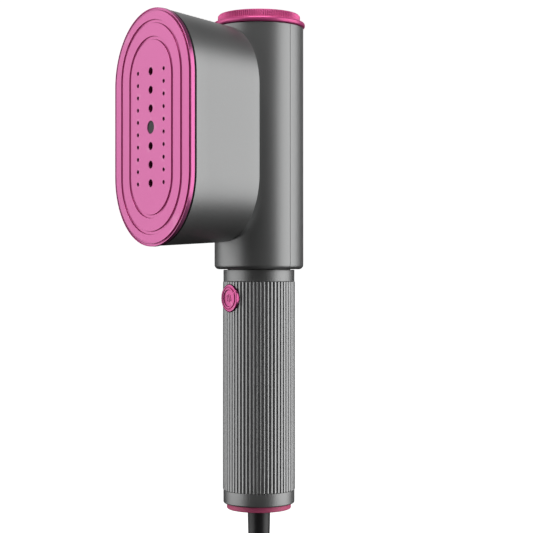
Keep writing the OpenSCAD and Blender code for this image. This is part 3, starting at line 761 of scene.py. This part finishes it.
HEAD_W = 37.2
HEAD_S = 24.6
TAPER_W = 2.4
TAPER_S = 1.3
HEAD_DROP = 1.3  # the back of the head sits a little lower than its front
SHELL_FRONT = PLATE_BACK - 1.4
BACK_T = 24.4
FRONT_EDGE = 0.45  # radius of the front edge
BACK_EDGE = 0.4  # radius of the back edge
NECK_W = 17.5
NECK_S = 34.0
NECK_FLARE = 1.6  # how much wider the neck is where it leaves the back wall


def shell_ring(w, s, t):
    """A ring of the head's shell, lower towards the back."""
    drop = HEAD_DROP * min(1.0, max(0.0, (SHELL_FRONT - t) / (SHELL_FRONT - BACK_T)))
    return [(x, y, z - drop) for x, y, z in head_ring(w, s, t)]


def wall_at(t):
    """The outside of the head's wall at a distance from the axis, as (w, s)."""
    f = (SHELL_FRONT - t) / (SHELL_FRONT - BACK_T)
    return HEAD_W - TAPER_W * f, HEAD_S - TAPER_S * f


def head_shell_rings():
    """Rings from inside the front edge, over it, along the wall and round the back edge; and
    the size of the last one."""
    rings = []
    inside = ((SHELL_FRONT - 6, WALL), (SHELL_FRONT - 0.2, WALL), (SHELL_FRONT, WALL - 0.2))
    for t, inset in inside:
        w, s = wall_at(t)
        rings.append(shell_ring(w - inset, s, t))
    for k in range(5):
        a = math.pi / 2 * k / 4
        t = SHELL_FRONT - FRONT_EDGE * (1 - math.cos(math.pi / 2 - a))
        w, s = wall_at(t)
        rings.append(shell_ring(w - FRONT_EDGE * (1 - math.sin(a)), s, t))
    for k in range(1, 6):
        t = SHELL_FRONT + (BACK_T + 0.6 - SHELL_FRONT) * k / 5
        w, s = wall_at(t)
        rings.append(shell_ring(w, s, t))
    w, s = wall_at(BACK_T)
    for k in range(9):
        a = math.pi / 2 * k / 8
        t = BACK_T + BACK_EDGE * (1 - math.sin(a))
        rings.append(shell_ring(w - BACK_EDGE * (1 - math.cos(a)), s, t))
    return rings, w - BACK_EDGE, s


def neck_ring(w, sink):
    """A ring where the neck meets the barrel, sink inside its surface."""
    ring = []
    for x, v in stadium(w, NECK_S):
        t = math.sqrt(max(BARREL_R ** 2 - min(abs(x), BARREL_R - 0.2) ** 2, 0)) - sink
        ring.append((x, -t, HEAD_Z + v))
    return ring


head_rings, back_w, back_s = head_shell_rings()
for k in range(1, 5):
    f = k / 4
    w = back_w + (NECK_W + NECK_FLARE - back_w) * f
    s = back_s + (NECK_S - back_s) * f
    head_rings.append(shell_ring(w, s, BACK_T))
for w, t in ((NECK_W + 0.5, BACK_T - 0.5), (NECK_W, BACK_T - 1.6)):
    head_rings.append([(x, min(-t, y), z) for x, y, z in neck_ring(w, 0)])
for flare, sink in ((0.2, 0.05), (0.8, 0.6)):
    head_rings.append(neck_ring(NECK_W + flare, sink))
head_verts, head_faces = loft(head_rings)
mesh_piece(  # the last two faces would close its ends, which stay open
    "head_housing", head_verts, head_faces[:-2], body_lacquer, "body_paint", nodes=("head_shell",)
)


# ---- barrel: front shell and rear cover, with a fine parting line between them ----

COVER_HALF = math.radians(82)
BARREL_ROUND = 2.5
SEAM = 0.045  # half the width of the parting line
SEAM_EDGE = 0.2  # over how much of the surface its edges are rounded
SEAM_DROPS = (0.1, 0.035, 0.01, 0.0)  # how far they fall, from the line outwards


def barrel_outline():
    """The barrel wall's section as (radius, z): out, round the foot, and back inside."""
    top, bottom = barrel_high.z, barrel_low.z
    return rounded(
        [
            (BARREL_R - WALL, top - 0.3, 0), (BARREL_R - WALL, top, 0.25),
            (BARREL_R, top, 0.35), (BARREL_R, bottom, BARREL_ROUND),
            (17.6, bottom, 0.3), (17.6, bottom + 2, 0), (BARREL_R - WALL, bottom + 2.6, 0),
            (BARREL_R - WALL, top - 0.3, 0),
        ],
        8,
    )


def barrel_sector(first, last):
    """A sector of the barrel, between two angles about Z, with softened long edges."""
    edges = [((SEAM + SEAM_EDGE * k / 3) / BARREL_R, drop) for k, drop in enumerate(SEAM_DROPS)]
    margin = (SEAM + SEAM_EDGE) / BARREL_R
    steps = max(8, int(math.degrees(last - first) / 2.5))
    inner = (last - first) - 2 * (SEAM + SEAM_EDGE) / BARREL_R
    stations = [(first + past, drop) for past, drop in edges]
    stations += [(first + margin + inner * k / steps, 0.0) for k in range(1, steps)]
    stations += [(last - past, drop) for past, drop in reversed(edges)]
    rings = [
        [
            polar(r - drop if r > BARREL_R - 1 else r, angle, z)
            for r, z in barrel_outline()
        ]
        for angle, drop in stations
    ]
    return loft(rings)


FRONT_AT = -math.pi / 2
FRONT_HALF = math.pi - COVER_HALF
shell_form = barrel_sector(FRONT_AT - FRONT_HALF, FRONT_AT + FRONT_HALF)
mesh_piece("barrel_front", *shell_form, body_lacquer, "body_paint", nodes=("barrel_shell",))
cover_form = barrel_sector(math.pi / 2 - COVER_HALF, math.pi / 2 + COVER_HALF)
mesh_piece("barrel_cover", *cover_form, body_lacquer, "body_paint", nodes=("rear_cover",))


# ---- neck collar, ribbed grip, ferrule and coloured end ring ----

CORE_R = 17.3
SLEEVE_BORE = CORE_R + 0.1
COLLAR_R = 19.5
RING_R = 17.6
RING_BORE = 7.5


def sleeve(name, r_out, r_in, low, high, fillet_low, fillet_high, material, slot, node):
    """A turned sleeve with a rounded outer edge at each end."""
    section = rounded(
        [
            (r_in, (low + high) / 2, 0), (r_in, low, 0.1), (r_out, low, fillet_low),
            (r_out, high, fillet_high), (r_in, high, 0.1), (r_in, (low + high) / 2, 0),
        ],
        6,
    )
    verts, faces = turned(section[:-1], 160, close=True)
    return mesh_piece(name, verts, faces, material, slot, nodes=(node,))


sleeve(
    "smooth_collar", COLLAR_R, SLEEVE_BORE, collar_low.z, collar_high.z, 0.2, 0.25,
    body_lacquer, "body_paint", "neck_collar",
)
sleeve(
    "grip_ferrule", COLLAR_R, SLEEVE_BORE, ferrule_low.z, ferrule_high.z, 0.8, 0.2,
    body_lacquer, "body_paint", "lower_ferrule",
)
sleeve(
    "coloured_ring", RING_R, RING_BORE, ring_low.z, ring_high.z, 0.7, 0.5,
    ring_coat, "fuchsia_plastic", "end_ring",
)

RIBS = 56
GRIP_R = 19.8
GRIP_SIDE_R = GRIP_R - 0.04
GRIP_END_R = GRIP_R - 0.3
RIB_DEEP = 0.36  # how far a rib's rounding falls from its middle to its edge
CREASE = 0.22  # how much deeper the narrow crease between two ribs is
CREASE_AT = 0.86  # where it starts, as a share of half a rib
# Where a rib's vertices stand across it; the next rib's first one closes it
RIB_AT = (-1, -0.93, -0.86, -0.72, -0.52, -0.27, 0, 0.27, 0.52, 0.72, 0.86, 0.93)


def ribbed_ring(r, z, depth=1.0):
    """A ring of the grip: RIBS rounded ribs, with a sharp crease between each two."""
    ring = []
    for rib in range(RIBS):
        for x in RIB_AT:
            a = TAU * (rib + 0.5 + x / 2) / RIBS
            crease = max(0.0, (abs(x) - CREASE_AT) / (1 - CREASE_AT))
            ring.append(polar(r - depth * (RIB_DEEP * x * x + CREASE * crease), a, z))
    return ring


def grip_form():
    """The ribbed sleeve: up the outside, and back down the smooth bore."""
    low, high = grip_low.z, grip_high.z
    rings = [ribbed_ring(SLEEVE_BORE, low + 0.3, 0), ribbed_ring(SLEEVE_BORE, low, 0)]
    rings += [ribbed_ring(GRIP_END_R, low), ribbed_ring(GRIP_SIDE_R, low + 0.25)]
    rings += [ribbed_ring(GRIP_SIDE_R, low + (high - low) * k / 8) for k in range(1, 8)]
    rings += [ribbed_ring(GRIP_SIDE_R, high - 0.25), ribbed_ring(GRIP_END_R, high)]
    rings += [ribbed_ring(SLEEVE_BORE, high, 0), ribbed_ring(SLEEVE_BORE, high - 0.3, 0)]
    return loft(rings, close=True)


grip = mesh_piece(
    "ribbed_grip", *grip_form(), grip_lacquer, "body_paint", sharp=40, nodes=("grip_sleeve",)
)

BUTTON_Z = (button_low.z + button_high.z) / 2
BUTTON_FACE = -button_low.y
PUCK_R = 7.45
PUCK_BACK = 16.0  # where the puck ends and its stem begins, from the grip's axis
STEM_R = 1.58
STEM_GAP = 0.02  # left between the stem and the switch's plunger
POCKET_GAP = 0.3  # left round the puck in the grip
POCKET = (10, 25)  # from where to where the grip is cut for it, from the grip's axis


def facing(outline, steps=96):
    """A turned form about the button's axis, from (radius, distance from the grip's axis)."""
    verts, faces = turned(outline, steps)
    return [(x, -t, BUTTON_Z + y) for x, y, t in verts], faces


cut(grip, *facing([(PUCK_R + POCKET_GAP, t) for t in POCKET]), sharp=40)


# ---- steam button: a turned puck with rings round a small raised steam mark ----


def button_outline():
    """The stem, the puck's side, and the rings of its face."""
    f = BUTTON_FACE
    return rounded(
        [
            (STEM_R, STEM_GAP - button_high.y, 0), (STEM_R, PUCK_BACK, 0.2),
            (PUCK_R, PUCK_BACK, 0.3), (PUCK_R, f - 0.5, 0.3), (6.75, f - 0.3, 0.15),
            (6.3, f - 0.3, 0.12), (6.05, f - 0.7, 0.1), (5.75, f - 0.7, 0.1),
            (5.5, f - 0.12, 0.15), (4.7, f - 0.02, 0.15), (4.4, f - 0.6, 0.12),
            (4.1, f - 0.62, 0.1), (3.0, f - 0.52, 0), (1.5, f - 0.46, 0), (0.05, f - 0.44, 0),
        ],
        5,
    )


mesh_piece(
    "steam_key", *facing(button_outline()), button_coat, "fuchsia_plastic",
    body="button", nodes=("steam_button",),
)

MARK_R = 0.34
MARK_WAVE = 0.35
MARK_T = BUTTON_FACE - 0.48


def wave_bar(x0, reach):
    """A wavy raised bar on the button, standing for steam."""
    steps, sides = 28, 10
    rings = []
    for i in range(steps + 1):
        u = i / steps
        z = (u - 0.5) * 2 * reach
        x = x0 + MARK_WAVE * math.sin(TAU * u)
        q = MARK_R * math.sqrt(max(0.0, 1 - (2 * u - 1) ** 8)) + 0.01
        rings.append(
            [
                (
                    x + q * math.cos(TAU * k / sides),
                    -MARK_T - 0.9 * q * math.sin(TAU * k / sides),
                    BUTTON_Z + z,
                )
                for k in range(sides)
            ]
        )
    return loft(rings)


mark_form = joined([wave_bar(-1.5, 1.7), wave_bar(0, 2.3), wave_bar(1.5, 1.7)])
mesh_piece("steam_mark", *mark_form, button_coat, "fuchsia_plastic", body="button")


# ---- filler cap: knurled disc on a rounded flange, with its threaded plug ----

FLANGE_R = 25.3
KNURL_R = 22.6
KNURLS = 120
KNURL_STEPS = 6  # vertices to a knurl
KNURL_DEEP = 0.4
FLANGE_T = 2.7
PLUG_R = 12.6
CAP_BOTTOM = barrel_high.z + 0.3


def knurl_ring(r, z, depth=0):
    """A ring of the cap, with knurls of a depth."""
    waves = [0.5 + 0.5 * math.cos(TAU * k / KNURL_STEPS) for k in range(KNURL_STEPS)]
    n = KNURLS * KNURL_STEPS
    return [polar(r - depth * waves[j % KNURL_STEPS], TAU * j / n, z) for j in range(n)]


def cap_form():
    """The plug, the rounded flange, the knurled disc and its crown."""
    bottom, top = CAP_BOTTOM, cap_high.z
    shelf = bottom + FLANGE_T
    rings = [knurl_ring(0.05, cap_low.z), knurl_ring(PLUG_R - 0.6, cap_low.z)]
    rings += [knurl_ring(PLUG_R, cap_low.z + 0.6), knurl_ring(PLUG_R, bottom)]
    flange = rounded(
        [
            (PLUG_R + 1, bottom, 0), (FLANGE_R, bottom, 0.9), (FLANGE_R, shelf, 1.3),
            (KNURL_R + 0.2, shelf + 0.1, 0.2), (KNURL_R, shelf + 0.5, 0),
        ],
        6,
    )
    rings += [knurl_ring(r, z) for r, z in flange[:-1]]
    rings += [knurl_ring(KNURL_R, shelf + 0.35)]
    rings += [knurl_ring(KNURL_R, z, KNURL_DEEP) for z in (shelf + 0.55, top - 0.95)]
    rings += [knurl_ring(KNURL_R - 0.15, top - 0.6, 0.12)]
    crown = rounded(
        [
            (KNURL_R - 0.3, top - 0.55, 0), (KNURL_R - 0.7, top, 0.5), (19.6, top, 0.2),
            (19.2, top - 0.45, 0.2), (17.0, top - 0.45, 0.3), (0.05, top - 0.25, 0),
        ],
        4,
    )
    rings += [knurl_ring(r, z) for r, z in crown]
    return loft(rings)


mesh_piece(
    "knurled_cap", *cap_form(), fuchsia_lacquer, "fuchsia_plastic", body="cap",
    nodes=("filler_cap",),
)


THREAD_PITCH = 3.5
THREAD_TURNS = 0.85
THREAD_LOW = barrel_high.z - 9.2
THREAD_DEEP = 1.3
THREAD_ROOT = 1.7  # the ridge's height at its root, and at its crest
THREAD_CREST = 0.9
THREAD_START = math.radians(5.143)  # where the CAD's thread begins, seen from above


def screw_thread():
    """The plug's thread: a ridge that fades into the plug at both ends."""
    steps = 72
    rings = []
    for i in range(steps + 1):
        u = i / steps
        a = THREAD_START + TAU * THREAD_TURNS * u
        z = THREAD_LOW + THREAD_PITCH * THREAD_TURNS * u
        fade = min(1.0, 8 * u, 8 * (1 - u))
        out = PLUG_R + THREAD_DEEP * max(fade, 0.02)
        rings.append(
            [
                polar(q, a, z + dz)
                for q, dz in (
                    (PLUG_R - 0.4, -THREAD_ROOT / 2), (out, -THREAD_CREST / 2),
                    (out, THREAD_CREST / 2), (PLUG_R - 0.4, THREAD_ROOT / 2),
                )
            ]
        )
    return loft(rings)


mesh_piece("plug_thread", *screw_thread(), fuchsia_lacquer, "fuchsia_plastic", body="cap")


# ---- strain relief ----


def relief_form():
    """The tapering boot, with a recess round the cord at its lower end."""
    top, bottom = ring_low.z + 1.5, relief_low.z
    section = rounded(
        [
            (3.0, top, 0), (6.24, top, 0), (6.2, ring_low.z - 0.2, 0), (5.95, -140, 0),
            (5.2, bottom, 1.0), (3.5, bottom, 0.3), (3.5, bottom + 2, 0),
        ],
        6,
    )
    return turned(section, 72)


mesh_piece("cord_boot", *relief_form(), cord_pvc, "cord_pvc", nodes=("strain_relief",))


# ---- wound springs in place of the CAD's; in the steamer they shorten as their joints move ----


COIL_STEPS = 20  # rings to a turn
WIRE_SIDES = 8


def coil_spring(name, node, r, wire, turns, way):
    """A wound spring in place of a CAD one. way is the direction in which its loose end
    is pushed; its other end stays where it is."""
    low, high = node_box(node)
    middle = (low + high) / 2
    axis = Vector(way)
    length = abs((high - low).dot(axis)) - 2 * wire
    across = axis.orthogonal().normalized()
    up = axis.cross(across)
    steps = int(turns * COIL_STEPS)
    wire_angles = [TAU * k / WIRE_SIDES for k in range(WIRE_SIDES)]
    rings = []
    for i in range(steps + 1):
        a = TAU * turns * i / steps
        out = across * math.cos(a) + up * math.sin(a)
        centre = middle + out * r + axis * length * (i / steps - 0.5)
        rings.append(
            [centre + (out * math.cos(b) + axis * math.sin(b)) * wire for b in wire_angles]
        )
    slot = slot_of.get(node, "bright_steel")
    piece = mesh_piece(name, *loft(rings), KEPT["bright_steel"], slot, nodes=(node,))
    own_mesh(piece)


coil_spring("plunger_coil", "pump_spring", 3.6, 0.35, 4, (0, 0, 1))
coil_spring("poppet_coil", "valve_spring", 1.6, 0.2, 3, (0, 0, 1))
coil_spring("button_coil", "button_spring", 2.3, 0.25, 4, (0, 1, 0))


# ---- floor, backdrop and lights ----

FLOOR_GAP = 0.004  # from the lowest point of the CAD to the floor, in metres
FLOOR_NEAR, FLOOR_FAR, FLOOR_BEND, FLOOR_WALL, FLOOR_HALF = 2.6, 2.6, 1.2, 3.2, 6.0
FLOOR_STEPS = 16
FLOOR_GLOW = 0.96
LIGHT_AIM = Vector((0, 0, 0.03))  # on the barrel's axis, a little above its foot


def backdrop():
    """A pale floor with a wall that rises behind it in one curve."""
    floor_z = cad_bounds[0][2] - FLOOR_GAP
    outline = [(-FLOOR_NEAR, 0.0), (FLOOR_FAR, 0.0)]
    for k in range(1, FLOOR_STEPS + 1):
        a = k / FLOOR_STEPS * math.pi / 2
        outline.append((FLOOR_FAR + FLOOR_BEND * math.sin(a), FLOOR_BEND * (1 - math.cos(a))))
    outline.append((FLOOR_FAR + FLOOR_BEND, FLOOR_WALL))
    verts = [
        tuple(-to_camera * along + camera_right * side + Vector((0, 0, floor_z + up)))
        for along, up in outline
        for side in (-FLOOR_HALF, FLOOR_HALF)
    ]
    faces = [(2 * i, 2 * i + 1, 2 * i + 3, 2 * i + 2) for i in range(len(outline) - 1)]
    mesh = bpy.data.meshes.new("pale_floor")
    mesh.from_pydata(verts, [], faces)
    mesh.shade_smooth()
    piece = bpy.data.objects.new("pale_floor", mesh)
    bpy.context.scene.collection.objects.link(piece)
    return piece


floor = backdrop()
floor_paint, floor_tree, floor_shader = tree_of("floor_paint")
tint = noise(floor_tree, 3.0)
floor_tree.links.new(
    mix_colour(floor_tree, tint, (0.86, 0.86, 0.86), (0.90, 0.90, 0.90)),
    floor_shader.inputs["Base Color"],
)
floor_shader.inputs["Roughness"].default_value = 0.8
floor_shader.inputs["Emission Color"].default_value = (1, 1, 1, 1)
floor_shader.inputs["Emission Strength"].default_value = FLOOR_GLOW
floor.data.materials.append(floor_paint)
# The floor and the world show white behind the steamer, and neither lights it nor mirrors in it
floor.visible_diffuse = False
floor.visible_glossy = False
floor.visible_shadow = False

world = bpy.data.worlds.new("studio")
world.use_nodes = True
world.node_tree.nodes["Background"].inputs["Color"].default_value = (1, 1, 1, 1)
world.node_tree.nodes["Background"].inputs["Strength"].default_value = 1.0
world.cycles_visibility.diffuse = False
world.cycles_visibility.glossy = False
bpy.context.scene.world = world
bpy.context.scene.view_settings.view_transform = "Standard"
bpy.context.scene.view_settings.look = "None"


def softbox(name, turn, rise, distance, width, height, power):
    """A soft area light, turned from the camera's direction and raised, facing LIGHT_AIM."""
    a = CAMERA_AZIMUTH + math.radians(turn)
    e = math.radians(rise)
    way = Vector((math.sin(a) * math.cos(e), -math.cos(a) * math.cos(e), math.sin(e)))
    data = bpy.data.lights.new(name, "AREA")
    data.shape = "RECTANGLE"
    data.size, data.size_y = width, height
    data.energy = power
    lamp = bpy.data.objects.new(name, data)
    lamp.location = LIGHT_AIM + way * distance
    lamp.rotation_euler = (LIGHT_AIM - lamp.location).to_track_quat("-Z", "Y").to_euler()
    bpy.context.scene.collection.objects.link(lamp)


SOFTBOXES = {  # degrees round and up, metres away, wide and high, watts
    "right_softbox": (83, 4, 1.1, 1.35, 1.62, 15.6),
    "left_softbox": (-84, 7, 1.1, 1.6, 1.7, 13.4),
    "front_fill": (0, -10, 1.6, 1.6, 1.2, 0.6),
    "top_key": (0, 68, 1.2, 0.8, 0.8, 12),
    "back_light": (180, 25, 1.6, 1.4, 1.4, 3.5),
    "low_fill": (60, -55, 1.2, 1.2, 1.2, 0.8),
}
for name, settings in SOFTBOXES.items():
    softbox(name, *settings)
